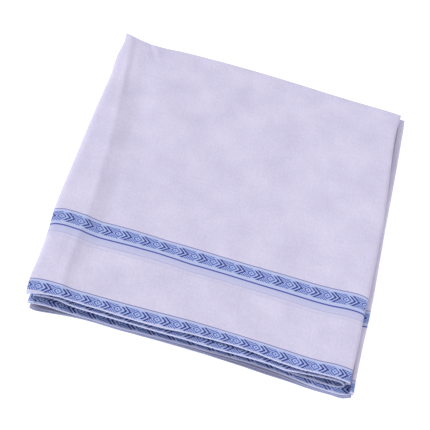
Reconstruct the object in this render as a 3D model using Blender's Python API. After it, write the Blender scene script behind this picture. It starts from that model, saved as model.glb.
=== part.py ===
"""A square cotton scarf with woven blue borders, folded to a flat square packet and laid on a surface.

The square cloth is folded in four each way, which gives sixteen plies. Five solids stand for them:
the top panel, rolled over at both sides and at the back; the ply under it, which turns round at the
right and comes back below; the hidden plies, as one solid layered at its edges; the lower panel,
turned up at three sides; and the bottom ply, flat on the surface. The four hems at the front step
forward one below the other. X runs along the front from left to right, Y to the back and Z up.
"""

import math
from collections import namedtuple

import bmesh
import bpy

MM = 0.001  # the sizes below are in millimetres, and the meshes in metres

# Driving sizes
CLOTH = 1120.0  # side of the square cloth
PANELS = 4  # panels along each side once it is folded
HALF = CLOTH / PANELS / 2
WALL = 1.0  # a ply that shows, as a wall
GAP = 0.3  # air between plies
PACKET = 12.5  # height of the top panel at its edges

# Levels, worked out upwards from the surface that the packet lies on
BASE_TOP = WALL
LOWER_FACE = BASE_TOP + GAP
LOWER_TOP = LOWER_FACE + WALL
SECOND_UNDER = LOWER_TOP + GAP
CORE_UNDER = SECOND_UNDER + WALL + GAP
LOWER_RIM = LOWER_FACE + 3.3
LOWER_RIM_RIGHT = LOWER_FACE + 4.9
RIM_RISE = 14.0
TOP_UNDER = PACKET - 4.9
FOLD_DEPTH = 2.6  # height of the top panel's left fold where it lies pressed flat, at the front
SECOND_DROP = WALL + GAP
CORE_DROP = SECOND_DROP + WALL + 0.7
DROOP = 1.7  # how far the second ply hangs away from the top panel along the front

# The crown of the packet and the soft fold that runs along its left side
CROWN = 1.0
CROWN_REACH = 1.06 * HALF
FOLD_PLATEAU = 4.0
FOLD_FLANK = 22.0
SHOULDER = 0.8
SHOULDER_REACH = 16.0

# Turned edges: radius seen from above, and how far the cloth goes on underneath
Turn = namedtuple("Turn", "left back right")
TOP_RADIUS = Turn(6.0, 4.0, 3.2)
TOP_FLANGE = Turn(3.0, 3.0, 0.4)
LOWER_RADIUS = Turn(3.0, 3.0, 3.2)
LOWER_FLANGE = Turn(2.0, 2.0, 0.8)
FACE_ANGLES = (90.0, 60.0, 30.0, 0.0)
UNDER_ANGLES = (120.0, 150.0, 180.0)
LOOP_RADIUS = 4.4
LOOP_ANGLES = (180.0, 150.0, 120.0, 90.0, 60.0, 30.0, 0.0)

# How far each side edge stands out from half a panel, from front to back
Side = namedtuple("Side", "y left right low_left low_right")
SIDES = (
    Side(-140.0, 1.6, -3.6, -1.0, 1.7),
    Side(-124.0, 3.1, -3.3, -1.2, 1.8),
    Side(-100.0, 2.5, -2.5, -1.5, 2.4),
    Side(-76.0, 3.0, -2.3, -1.5, 3.5),
    Side(-52.0, 4.5, -1.0, -1.5, 4.1),
    Side(-15.0, 3.4, -0.3, -1.5, 4.0),
    Side(20.0, 2.4, 0.1, -1.5, 4.0),
    Side(60.0, 0.9, -1.4, -2.0, 4.4),
    Side(95.0, -0.8, -2.8, -2.5, 4.5),
    Side(118.0, -0.1, -3.2, -2.5, 4.4),
    Side(128.0, -1.1, -2.6, -2.5, 4.4),
    Side(137.0, -1.9, -1.6, -2.5, 4.2),
    Side(147.0, -1.0, -1.4, -2.5, 4.2),
)

# How far the back edge stands out, from left to right: a dip beside the drawn-out left corner
Back = namedtuple("Back", "x top low")
BACKS = (
    Back(-140.0, 7.6, 1.0),
    Back(-128.0, 5.2, 1.5),
    Back(-113.0, 3.0, 1.6),
    Back(-98.0, 2.8, 2.0),
    Back(-80.0, 4.2, 2.4),
    Back(-50.0, 5.0, 3.0),
    Back(-12.0, 5.2, 3.2),
    Back(24.0, 4.4, 2.8),
    Back(62.0, 3.0, 2.2),
    Back(88.0, 2.2, 1.6),
    Back(120.0, 1.8, 1.2),
    Back(140.0, 1.2, 0.8),
)

# How far each hem lies in front of half a panel, from left to right
Hem = namedtuple("Hem", "x top second turned lower base lift")
HEMS = (
    Hem(-140.0, -0.9, -1.3, -13.0, 3.9, 3.6, 4.6),
    Hem(-134.0, -2.7, -2.6, -13.0, 2.7, 5.9, 4.4),
    Hem(-122.0, -5.1, -3.9, -13.0, 1.7, 5.2, 3.6),
    Hem(-105.0, -5.7, -2.7, -12.6, 1.9, 3.2, 1.4),
    Hem(-86.0, -5.3, -1.9, -10.0, 1.4, 2.3, 0.5),
    Hem(-58.0, -4.5, -1.6, -10.0, 1.7, 2.8, 0.3),
    Hem(-28.0, -4.3, -1.0, -10.0, 1.0, 2.6, 0.3),
    Hem(0.0, -6.1, -0.9, -10.0, 0.6, 2.8, 0.3),
    Hem(26.0, -6.5, -0.4, -10.0, 0.6, 3.5, 0.0),
    Hem(50.0, -5.6, -0.6, -6.0, 0.4, 4.8, 0.0),
    Hem(66.0, -3.9, -0.1, -3.2, 1.1, 5.6, 0.0),
    Hem(80.0, -2.8, 1.0, -1.3, 2.3, 6.3, 0.0),
    Hem(94.0, -2.2, -0.1, -0.1, 3.9, 7.0, 0.0),
    Hem(110.0, -2.8, -1.1, 0.8, 5.5, 7.8, 0.0),
    Hem(124.0, -3.2, -1.9, 1.1, 6.1, 8.0, 0.0),
    Hem(133.0, -2.4, -1.2, -0.2, 5.6, 8.1, 0.0),
    Hem(140.0, -2.2, -1.2, -0.8, 3.4, 5.4, 0.0),
)

# Stretches behind half a panel's front line, where one form passes into another
LIP_FULL, LIP_END = 6.0, 12.0  # the lower panel's raised lip
DROOP_FULL, DROOP_END = 10.0, 19.0  # the second ply's droop
FLAT_FULL, FLAT_END = 18.0, 35.0  # the flat part of the top panel's left fold
TUCK_FULL, TUCK_END = 7.0, 15.0  # the second ply's end, tucked under that flat part

# The soft fold: where its foot runs and how high it stands, from front to back
Fold = namedtuple("Fold", "y x height")
FOLDS = (
    Fold(-140.0, -112.5, 1.4),
    Fold(-100.0, -116.2, 2.4),
    Fold(-50.0, -114.2, 3.0),
    Fold(14.0, -116.6, 2.8),
    Fold(58.0, -120.4, 2.4),
    Fold(108.0, -126.6, 1.6),
    Fold(145.0, -131.0, 0.8),
)

# Outlines of the hidden plies, bottom to top. The rows in the middle are the ply edges that show
# in the groove along the left side and the back. A share of 1 follows the top panel's height. The
# front left corner keeps behind the rest of the front, where the plies above and below it close up.
Ring = namedtuple("Ring", "z share left right back front corner")
RINGS = (
    Ring(CORE_UNDER, 0.0, -120.4, 124.2, 131.4, -129.8, -124.4),
    Ring(CORE_UNDER + 0.4, 0.0, -121.0, 124.8, 132.0, -131.2, -125.6),
    Ring(LOWER_RIM + 0.2, 0.0, -121.0, 124.8, 132.0, -130.2, -124.6),
    Ring(LOWER_RIM + 0.3, 0.0, -134.4, 124.8, 138.2, -130.4, -124.8),
    Ring(LOWER_RIM + 0.7, 0.0, -135.4, 125.2, 139.2, -132.0, -126.4),
    Ring(LOWER_RIM + 1.3, 0.0, -134.2, 124.6, 138.0, -130.4, -124.8),
    Ring(LOWER_RIM + 1.9, 0.0, -136.0, 125.2, 139.6, -131.6, -126.0),
    Ring(LOWER_RIM + 2.5, 0.0, -135.0, 124.8, 138.8, -130.2, -124.6),
    Ring(LOWER_RIM + 2.6, 0.0, -124.4, 124.6, 131.6, -130.0, -124.4),
    Ring(LOWER_RIM + 3.4, 0.3, -124.8, 125.0, 132.0, -127.2, -124.4),
    Ring(LOWER_RIM + 3.9, 0.6, -124.0, 124.2, 131.2, -124.8, -122.4),
    Ring(LOWER_RIM + 4.4, 1.0, -122.4, 122.6, 129.6, -122.0, -120.0),
)
CORNER_END, FRONT_START = -118.0, -98.0  # between them the corner's line passes into the front's

# Stations between the turned edges, as shares of the way across and of the way back
ACROSS = (
    0.015, 0.03, 0.045, 0.06, 0.075, 0.09, 0.105, 0.122, 0.145, 0.18, 0.23, 0.28, 0.335, 0.39,
    0.445, 0.5, 0.555, 0.61, 0.665, 0.72, 0.775, 0.825, 0.875, 0.92, 0.955, 0.98,
)  # fmt: skip
ALONG = (
    0.0, 0.012, 0.035, 0.07, 0.12, 0.18, 0.25, 0.32, 0.4, 0.48, 0.56, 0.64, 0.72, 0.79, 0.85,
    0.9, 0.94, 0.97,
)  # fmt: skip
LOW_ACROSS = (0.03, 0.07, 0.12, 0.2, 0.3, 0.4, 0.5, 0.6, 0.7, 0.78, 0.86, 0.92, 0.955, 0.98)
LOW_ALONG = (0.0, 0.012, 0.025, 0.035, 0.045, 0.056, 0.07, 0.1, 0.2, 0.35, 0.5, 0.65, 0.8, 0.92)
SECOND_ALONG = (
    0.0, 0.008, 0.016, 0.024, 0.032, 0.04, 0.048, 0.056, 0.07, 0.14, 0.28, 0.42, 0.56, 0.7, 0.84,
    0.93, 1.0,
)  # fmt: skip
SECOND_LEFT = -131.5
SECOND_TUCKED = -138.0  # where that ply's left end reaches to under the flat fold
LOOP_INSET = TOP_RADIUS.right + TOP_FLANGE.right + 2 * GAP
SECOND_BACK = 133.0
TURNED_LEFT = -119.0
TURNED_SHARES = (0.0, 0.15, 0.3, 0.45, 0.6, 0.72, 0.8, 0.86, 0.92, 0.96)
CORE_SIDE = 12  # steps along each side of a ring

CLOTH_COLOUR = (0.69, 0.64, 0.81, 1.0)
CLOTH_ROUGHNESS = 0.9


def clear_scene():
    """Removes whatever the scene holds."""
    for old in list(bpy.data.objects):
        bpy.data.objects.remove(old)


def mix(a, b, share):
    """The value a share of the way from a to b."""
    return a + (b - a) * share


def ease(share):
    """A soft step from 0 to 1."""
    share = min(1.0, max(0.0, share))
    return share * share * (3.0 - 2.0 * share)


def through(rows, column, at):
    """A smooth curve through one column of a table, read where the table's first column is at."""
    places = [row[0] for row in rows]
    values = [getattr(row, column) for row in rows]
    if at <= places[0]:
        return values[0]
    if at >= places[-1]:
        return values[-1]
    k = max(i for i in range(len(places) - 1) if places[i] <= at)
    step = places[k + 1] - places[k]

    def slope(i):
        low, high = max(i - 1, 0), min(i + 1, len(places) - 1)
        return (values[high] - values[low]) / (places[high] - places[low]) * step

    u = (at - places[k]) / step
    rise = values[k + 1] - values[k]
    first, last = slope(k), slope(k + 1)
    return values[k] + u * (first + u * (3 * rise - 2 * first - last + u * (first + last - 2 * rise)))


def side_edges(left, right):
    """Where the left and right edges lie, as functions of y."""
    return (
        lambda y: -HALF - through(SIDES, left, y),
        lambda y: HALF + through(SIDES, right, y),
    )


def back_edge(column):
    """Where a back edge lies, as a function of x."""
    return lambda x: HALF + through(BACKS, column, x)


def hem_line(column):
    """Where a hem lies, as a function of x."""
    return lambda x: -HALF - through(HEMS, column, x)


def crown(x, y):
    """The gentle rise of the packet towards its middle."""
    rise_x = max(0.0, math.cos(math.pi / 2 * x / CROWN_REACH))
    rise_y = max(0.0, math.cos(math.pi / 2 * y / CROWN_REACH))
    return CROWN * math.sqrt(rise_x * rise_y)


def top_face(x, y):
    """Height of the top panel's upper face, before its edges turn down."""
    foot = through(FOLDS, "x", y) + FOLD_FLANK - FOLD_PLATEAU
    fold = through(FOLDS, "height", y) * ease((foot - x) / FOLD_FLANK)
    inset = HALF + through(SIDES, "right", y) - x
    shoulder = SHOULDER * max(0.0, 1.0 - inset / SHOULDER_REACH) ** 2
    return PACKET + crown(x, y) + fold - shoulder


def near_front(y, full, end):
    """1 up to a distance behind the front line, then softly down to 0 at another."""
    return ease((end - HALF - y) / (end - full))


def top_under(x, y):
    """Height that the top panel's turned edges go down to: the left fold lies flat at the front."""
    flat = near_front(y, FLAT_FULL, FLAT_END) if x < 0.0 else 0.0
    return mix(TOP_UNDER, top_face(x, y) - FOLD_DEPTH, flat)


def second_face(x, y):
    """Height of the second ply's upper face, which droops along the front."""
    return top_face(x, y) - SECOND_DROP - DROOP * near_front(y, DROOP_FULL, DROOP_END)


def second_left(y):
    """Where the second ply's upper run ends at the left."""
    return mix(SECOND_LEFT, SECOND_TUCKED, near_front(y, TUCK_FULL, TUCK_END))


def lower_face(x, y):
    """Height of the lower panel's underside: level, with a raised lip at the front left."""
    return LOWER_FACE + through(HEMS, "lift", x) * near_front(y, LIP_FULL, LIP_END)


def lower_rim(x, y):
    """Height that the lower panel's turned-up edges reach."""
    level = mix(LOWER_RIM, LOWER_RIM_RIGHT, ease((x - HALF + RIM_RISE) / RIM_RISE))
    return max(level, lower_face(x, y) + 2.4)


def stations(shares):
    """Steps across a turned sheet: (side, share or angle), from one turned edge to the other."""
    low = [("low", angle) for angle in FACE_ANGLES]
    high = [("high", angle) for angle in reversed(FACE_ANGLES)]
    return low + [("between", share) for share in shares] + high


def turn_inset(radius, angle, depth):
    """Distance from the outermost point of a turned edge, for a point depth inside the wall."""
    return depth + (radius - depth) * (1.0 - math.sin(math.radians(angle)))


def turn_drop(angle):
    """Share of the turn's half height that an angle has gone down."""
    return 1.0 - math.cos(math.radians(angle))


class TurnedSheet:
    """A sheet of cloth with its left, back and right edges turned over, and a hem at the front."""

    def __init__(self, edges, back, hem, face, under, radius, flange, across, along):
        self.left, self.right = edges
        self.back, self.hem = back, hem
        self.face, self.under = face, under
        self.radius, self.flange = radius, flange
        self.columns = stations(across)
        self.rows = [("between", share) for share in along]
        self.rows += [("high", angle) for angle in reversed(FACE_ANGLES)]

    def across(self, column, y, depth):
        """The x of a column of points, at y."""
        side, value = column
        if side == "low":
            return self.left(y) + turn_inset(self.radius.left, value, depth)
        if side == "high":
            return self.right(y) - turn_inset(self.radius.right, value, depth)
        return mix(self.left(y) + self.radius.left, self.right(y) - self.radius.right, value)

    def along(self, row, x, depth):
        """The y of a row of points, at x."""
        side, value = row
        if side == "high":
            return self.back(x) - turn_inset(self.radius.back, value, depth)
        return mix(self.hem(x), self.back(x) - self.radius.back, value)

    def level(self, x, y, drop, depth):
        """The z of a point that has gone drop half heights round the turn."""
        face, under = self.face(x, y), self.under(x, y)
        way = 1.0 if face > under else -1.0
        half = abs(face - under) / 2
        return face - way * (depth + (half - depth) * drop)

    def point(self, column, row, depth):
        """A point of the face."""
        y = self.along(row, 0.0, depth)
        x = self.across(column, y, depth)
        y = self.along(row, x, depth)
        x = self.across(column, y, depth)
        angles = [value for side, value in (column, row) if side != "between"]
        drop = max([turn_drop(angle) for angle in angles], default=0.0)
        return (x, y, self.level(x, y, drop, depth))

    def ring(self, path, insets, drop, depth):
        """The rim's points moved in under the face: insets for the left, back and right."""
        moved = []
        for x, y in path:
            left, right = self.left(y), self.right(y)
            hem, back = self.hem(x), self.back(x)
            share_x = min(1.0, max(0.0, (x - left) / (right - left)))
            share_y = min(1.0, max(0.0, (y - hem) / (back - hem)))
            new_x = mix(left + insets.left, right - insets.right, share_x)
            new_y = mix(hem, back - insets.back, share_y)
            moved.append((new_x, new_y, self.level(new_x, new_y, drop, depth)))
        return moved

    def skin(self, depth):
        """Points of the sheet's surface at a depth in its wall: the face, then the rings."""
        grid = [[self.point(c, r, depth) for r in self.rows] for c in self.columns]
        outer = [[self.point(c, r, 0.0)[:2] for r in self.rows] for c in self.columns]
        last = len(self.rows) - 1
        path = [outer[0][j] for j in range(last)] + [column[last] for column in outer]
        path += [outer[-1][j] for j in range(last - 1, -1, -1)]
        rings = []
        for angle in UNDER_ANGLES:
            insets = Turn(*(turn_inset(r, angle, depth) for r in self.radius))
            rings.append(self.ring(path, insets, turn_drop(angle), depth))
        insets = Turn(*(r + f for r, f in zip(self.radius, self.flange)))
        rings.append(self.ring(path, insets, turn_drop(UNDER_ANGLES[-1]), depth))
        return grid, rings

    def mesh(self, name, wall):
        """The closed wall, from its two skins."""
        bm = bmesh.new()
        skins = []
        for depth in (0.0, wall):
            grid, rings = self.skin(depth)
            columns = [[add_point(bm, p) for p in column] for column in grid]
            hoops = [[add_point(bm, p) for p in ring] for ring in rings]
            last = len(self.rows) - 1
            rim = columns[0][:last] + [column[last] for column in columns]
            rim += columns[-1][last - 1 :: -1]
            fill_grid(bm, columns)
            fill_grid(bm, [rim] + hoops)
            edge = [column[0] for column in columns]
            edge += [hoop[-1] for hoop in hoops]
            edge += hoops[-1][-2:0:-1]
            edge += [hoop[0] for hoop in reversed(hoops)]
            skins.append(edge)
        join_edges(bm, *skins)
        return finish_mesh(bm, name)


def add_point(bm, point):
    """A mesh point from a place in millimetres."""
    return bm.verts.new([value * MM for value in point])


def add_triangles(bm, a, b, c, d):
    """Fills a four-sided patch with two triangles, split along its shorter diagonal."""
    if (a.co - c.co).length <= (b.co - d.co).length:
        bm.faces.new((a, b, c))
        bm.faces.new((a, c, d))
    else:
        bm.faces.new((a, b, d))
        bm.faces.new((b, c, d))


def fill_grid(bm, lines):
    """Fills the patches between neighbouring lines of points."""
    for one, two in zip(lines, lines[1:]):
        for k in range(len(one) - 1):
            add_triangles(bm, one[k], one[k + 1], two[k + 1], two[k])


def join_edges(bm, one, two):
    """Closes the wall between two loops of points."""
    count = len(one)
    for k in range(count):
        after = (k + 1) % count
        add_triangles(bm, one[k], one[after], two[after], two[k])


def finish_mesh(bm, name):
    """A mesh with its faces pointing out."""
    bmesh.ops.recalc_face_normals(bm, faces=bm.faces)
    mesh = bpy.data.meshes.new(name)
    bm.to_mesh(mesh)
    bm.free()
    mesh.shade_smooth()
    mesh.set_sharp_from_angle(angle=math.radians(50.0))
    return mesh


def second_ply_mesh(name):
    """The ply under the top panel: across the packet, round at the right and back below."""
    hem, turned = hem_line("second"), hem_line("turned")
    _, top_right = side_edges("left", "right")
    flat_left = TOP_RADIUS.left - HALF
    flat_right = HALF - TOP_RADIUS.right

    def section(depth, share):
        """One line of points from the turned end below, round the loop, to the left end above."""
        points = []
        loop_x = top_right(mix(-HALF, SECOND_BACK, share)) - LOOP_INSET - LOOP_RADIUS
        for way in TURNED_SHARES:
            x = mix(TURNED_LEFT, loop_x, way)
            points.append((x, mix(turned(x), SECOND_BACK, share), SECOND_UNDER + depth))
        for angle in LOOP_ANGLES:
            turn = math.radians(angle)
            x = loop_x + (LOOP_RADIUS - depth) * math.sin(turn)
            y = mix(mix(hem(x), turned(x), turn / math.pi), SECOND_BACK, share)
            half = (second_face(loop_x, y) - SECOND_UNDER) / 2
            points.append((x, y, SECOND_UNDER + half + (half - depth) * math.cos(turn)))
        for way in reversed(ACROSS):
            x = mix(flat_left, flat_right, way)
            if SECOND_LEFT + WALL < x < loop_x - WALL:
                y = mix(hem(x), SECOND_BACK, share)
                points.append((x, y, second_face(x, y) - depth))
        end = second_left(mix(hem(SECOND_LEFT), SECOND_BACK, share))
        y = mix(hem(end), SECOND_BACK, share)
        points.append((end, y, second_face(end, y) - depth))
        return points

    bm = bmesh.new()
    edges = []
    for depth in (0.0, WALL):
        lines = [[add_point(bm, p) for p in section(depth, share)] for share in SECOND_ALONG]
        fill_grid(bm, lines)
        edge = list(lines[0])
        edge += [line[-1] for line in lines[1:-1]]
        edge += lines[-1][::-1]
        edge += [line[0] for line in lines[-2:0:-1]]
        edges.append(edge)
    join_edges(bm, *edges)
    return finish_mesh(bm, name)


def ring_points(ring):
    """The closed outline of one ring, from the front left corner clockwise seen from above."""

    def front(x):
        share = ease((x - CORNER_END) / (FRONT_START - CORNER_END))
        return mix(ring.corner, ring.front, share)

    corners = (
        (ring.left, front(ring.left)),
        (ring.left, ring.back),
        (ring.right, ring.back),
        (ring.right, front(ring.right)),
    )
    points = []
    for k, start in enumerate(corners):
        end = corners[(k + 1) % len(corners)]
        for step in range(CORE_SIDE):
            share = step / CORE_SIDE
            x, y = mix(start[0], end[0], share), mix(start[1], end[1], share)
            if k == len(corners) - 1:
                y = front(x)
            follow = PACKET + crown(x, y) - CORE_DROP
            points.append((x, y, mix(ring.z, follow, ring.share)))
    return points


def cap(bm, rim, level):
    """Fills the outline with a grid whose border is the rim, at a height given by level."""
    n = CORE_SIDE
    left, back = rim[0 : n + 1], rim[n : 2 * n + 1]
    right, front = rim[2 * n : 3 * n + 1][::-1], (rim[3 * n :] + rim[:1])[::-1]
    lines = []
    for i in range(n + 1):
        line = []
        for j in range(n + 1):
            if i == 0:
                line.append(left[j])
            elif i == n:
                line.append(right[j])
            elif j == 0:
                line.append(front[i])
            elif j == n:
                line.append(back[i])
            else:
                x, y = back[i].co.x / MM, left[j].co.y / MM
                line.append(add_point(bm, (x, y, level(x, y))))
        lines.append(line)
    fill_grid(bm, lines)


def inner_folds_mesh(name):
    """The hidden plies as one solid: rings from bottom to top, closed by two caps."""
    bm = bmesh.new()
    rings = [[add_point(bm, p) for p in ring_points(ring)] for ring in RINGS]
    for low, high in zip(rings, rings[1:]):
        join_edges(bm, low, high)
    cap(bm, rings[0], lambda x, y: CORE_UNDER)
    cap(bm, rings[-1], lambda x, y: PACKET + crown(x, y) - CORE_DROP)
    return finish_mesh(bm, name)


def bottom_ply_mesh(name):
    """The flat bottom ply, extruded from its outline."""
    hem, back = hem_line("base"), back_edge("low")
    steps = [k / 24 for k in range(25)]
    front = [mix(-HALF + 2.4, HALF - 0.5, s) for s in steps]
    rear = [mix(HALF + 1.5, -HALF + 4.0, s) for s in steps[::2]]
    outline = [(x, hem(x), 0.0) for x in front]
    outline += [(x, back(x) - 4.0, 0.0) for x in rear]
    bm = bmesh.new()
    face = bm.faces.new([add_point(bm, p) for p in outline])
    raised = bmesh.ops.extrude_face_region(bm, geom=[face])["geom"]
    tops = [part for part in raised if isinstance(part, bmesh.types.BMVert)]
    bmesh.ops.translate(bm, verts=tops, vec=(0.0, 0.0, BASE_TOP * MM))
    bmesh.ops.triangulate(bm, faces=bm.faces)
    return finish_mesh(bm, name)


def top_panel_mesh(name):
    """The panel on top, rolled over at the left, the back and the right."""
    sheet = TurnedSheet(
        side_edges("left", "right"),
        back_edge("top"),
        hem_line("top"),
        top_face,
        top_under,
        TOP_RADIUS,
        TOP_FLANGE,
        ACROSS,
        ALONG,
    )
    return sheet.mesh(name, WALL)


def lower_panel_mesh(name):
    """The panel below, turned up at the left, the back and the right."""
    sheet = TurnedSheet(
        side_edges("low_left", "low_right"),
        back_edge("low"),
        hem_line("lower"),
        lower_face,
        lower_rim,
        LOWER_RADIUS,
        LOWER_FLANGE,
        LOW_ACROSS,
        LOW_ALONG,
    )
    return sheet.mesh(name, WALL)


def cloth_material(name):
    """Matt cotton in one colour."""
    material = bpy.data.materials.new(name)
    material.use_nodes = True
    shader = material.node_tree.nodes["Principled BSDF"]
    shader.inputs["Base Color"].default_value = CLOTH_COLOUR
    shader.inputs["Roughness"].default_value = CLOTH_ROUGHNESS
    shader.inputs["Metallic"].default_value = 0.0
    return material


def build():
    """Makes the five pieces of the folded scarf."""
    clear_scene()
    makers = (
        ("top_panel", top_panel_mesh),
        ("second_ply", second_ply_mesh),
        ("inner_folds", inner_folds_mesh),
        ("lower_panel", lower_panel_mesh),
        ("bottom_ply", bottom_ply_mesh),
    )
    for name, maker in makers:
        piece = bpy.data.objects.new(name, maker(name))
        piece.data.materials.append(cloth_material(name + "_cotton"))
        bpy.context.scene.collection.objects.link(piece)


build()
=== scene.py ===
"""The looks of the folded cotton scarf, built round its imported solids.

Each ply that shows is a thin shell on the form of its solid, with the creases of used cotton, a
rolled hem along its front edge, and a map of the flat cloth from which the woven borders are drawn.
Lengths in the tables are millimetres, and the meshes are in metres.
"""

import math
from collections import namedtuple

import bpy  # noqa: E402
import numpy as np  # noqa: E402
from mathutils import Matrix, Vector, noise  # noqa: E402


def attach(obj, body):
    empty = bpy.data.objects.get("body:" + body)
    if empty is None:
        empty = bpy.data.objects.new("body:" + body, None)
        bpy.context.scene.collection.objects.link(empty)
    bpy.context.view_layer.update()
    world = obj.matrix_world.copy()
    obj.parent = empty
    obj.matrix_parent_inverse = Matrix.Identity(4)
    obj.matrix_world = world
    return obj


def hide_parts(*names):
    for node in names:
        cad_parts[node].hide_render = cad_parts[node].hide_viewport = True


MM = 0.001

# The form of the packet, as in the part's source apart from what is marked as the scene's own
HALF = 140.0
WALL = 1.0
GAP = 0.3
PACKET = 12.5
BASE_TOP = WALL
LOWER_FACE = BASE_TOP + GAP
LOWER_TOP = LOWER_FACE + WALL
SECOND_UNDER = LOWER_TOP + GAP
CORE_UNDER = SECOND_UNDER + WALL + GAP
LOWER_RIM = LOWER_FACE + 3.3
LOWER_RIM_RIGHT = LOWER_FACE + 4.9
RIM_RISE = 14.0
TOP_UNDER = PACKET - 4.9
FOLD_DEPTH = 3.4  # the scene's own
SECOND_DROP = WALL + GAP
CORE_DROP = SECOND_DROP + WALL + 0.7
DROOP = 1.7
CROWN = 1.0
CROWN_REACH = 1.06 * HALF
FOLD_PLATEAU = 4.0
FOLD_FLANK = 22.0
SHOULDER = 0.8
SHOULDER_REACH = 16.0
LIP_FULL, LIP_END = 6.0, 12.0
LIP_RIM = 2.4  # least height of the lower panel's turned edge over its raised lip
DROOP_FULL, DROOP_END = 10.0, 19.0
FLAT_FULL, FLAT_END = 18.0, 35.0
TUCK_FULL, TUCK_END = 7.0, 15.0

Turn = namedtuple("Turn", "left back right")
TOP_RADIUS = Turn(6.0, 4.0, 3.2)
TOP_FLANGE = Turn(3.0, 3.0, 0.4)
LOWER_RADIUS = Turn(3.0, 3.0, 3.2)
LOWER_FLANGE = Turn(2.0, 2.0, 3.8)  # the right one is the scene's own
TOP_HALF = 2.8  # about half the height of the turned edges, for the length of cloth round them
LOWER_HALF = 2.1

# Steps round the turns, with finer angles than the part's
ARC_STEPS = 24
FACE_ANGLES = (90.0, 72.0, 54.0, 36.0, 18.0, 0.0)
UNDER_ANGLES = (108.0, 126.0, 144.0, 162.0, 180.0)
FLANGE_SHARES = (0.5, 1.0)
LOOP_STEP = 12.0
LOOP_ANGLES = tuple(180.0 - LOOP_STEP * k for k in range(16))

# The loop and the ends of the second ply
LOOP_RADIUS = 4.4
LOOP_INSET = TOP_RADIUS.right + TOP_FLANGE.right + 2 * GAP
SECOND_LEFT = -131.5
SECOND_TUCKED = -136.0  # the scene's own
SECOND_BACK = 133.0
TURNED_LEFT = -119.0

# Outlines, measured out from half a panel
Side = namedtuple("Side", "y left right low_left low_right")
SIDES = (
    Side(-140.0, 1.6, -3.6, -1.0, 1.7),
    Side(-124.0, 3.1, -3.3, -1.2, 1.8),
    Side(-100.0, 2.5, -2.5, -1.5, 2.4),
    Side(-76.0, 3.0, -2.3, -1.5, 3.5),
    Side(-52.0, 4.5, -1.0, -1.5, 4.1),
    Side(-15.0, 3.4, -0.3, -1.5, 4.0),
    Side(20.0, 2.4, 0.1, -1.5, 4.0),
    Side(60.0, 0.9, -1.4, -2.0, 4.4),
    Side(95.0, -0.8, -2.8, -2.5, 4.5),
    Side(118.0, -0.1, -3.2, -2.5, 4.4),
    Side(128.0, -1.1, -2.6, -2.5, 4.4),
    Side(137.0, -1.9, -1.6, -2.5, 4.2),
    Side(147.0, -1.0, -1.4, -2.5, 4.2),
)
Back = namedtuple("Back", "x top low")
BACKS = (
    Back(-140.0, 7.6, 1.0),
    Back(-128.0, 5.2, 1.5),
    Back(-113.0, 3.0, 1.6),
    Back(-98.0, 2.8, 2.0),
    Back(-80.0, 4.2, 2.4),
    Back(-50.0, 5.0, 3.0),
    Back(-12.0, 5.2, 3.2),
    Back(24.0, 4.4, 2.8),
    Back(62.0, 3.0, 2.2),
    Back(88.0, 2.2, 1.6),
    Back(120.0, 1.8, 1.2),
    Back(140.0, 1.2, 0.8),
)

# How far each hem lies in front of half a panel, and how high the lower panel's lip lifts
Hem = namedtuple("Hem", "x top second turned lower base lift")
HEMS = (
    Hem(-140.0, -2.2, -1.3, -13.0, 3.9, 3.6, 4.6),  # this top hem and the next are the scene's own
    Hem(-134.0, -3.5, -2.6, -13.0, 2.7, 5.9, 4.4),
    Hem(-122.0, -5.1, -3.9, -13.0, 1.7, 5.2, 3.6),
    Hem(-105.0, -5.7, -2.7, -12.6, 1.9, 3.2, 1.4),
    Hem(-86.0, -5.3, -1.9, -10.0, 1.4, 2.3, 0.5),
    Hem(-58.0, -4.5, -1.6, -10.0, 1.7, 2.8, 0.3),
    Hem(-28.0, -4.3, -1.0, -10.0, 1.0, 2.6, 0.3),
    Hem(0.0, -6.1, -0.9, -10.0, 0.6, 2.8, 0.3),
    Hem(26.0, -6.5, -0.4, -10.0, 0.6, 3.5, 0.0),
    Hem(50.0, -5.6, -0.6, -6.0, 0.4, 4.8, 0.0),
    Hem(66.0, -3.9, -0.1, -3.2, 1.1, 5.6, 0.0),
    Hem(80.0, -2.8, 1.0, -1.3, 2.3, 6.3, 0.0),
    Hem(94.0, -2.2, -0.1, -0.1, 3.9, 7.0, 0.0),
    Hem(110.0, -2.8, -1.1, 0.8, 5.5, 7.8, 0.0),
    Hem(124.0, -3.2, -1.9, 1.1, 6.1, 8.0, 0.0),
    Hem(133.0, -2.4, -1.2, -0.2, 5.6, 8.1, 0.0),
    Hem(140.0, -2.2, -1.2, -0.8, 3.4, 5.4, 0.0),
)

# The soft fold at the left: where its line runs and how high it stands
Fold = namedtuple("Fold", "y x height")
FOLDS = (
    Fold(-140.0, -112.5, 1.4),
    Fold(-100.0, -116.2, 2.4),
    Fold(-50.0, -114.2, 3.0),
    Fold(14.0, -116.6, 2.8),
    Fold(58.0, -120.4, 2.4),
    Fold(108.0, -126.6, 1.6),
    Fold(145.0, -131.0, 0.8),
)

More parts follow.
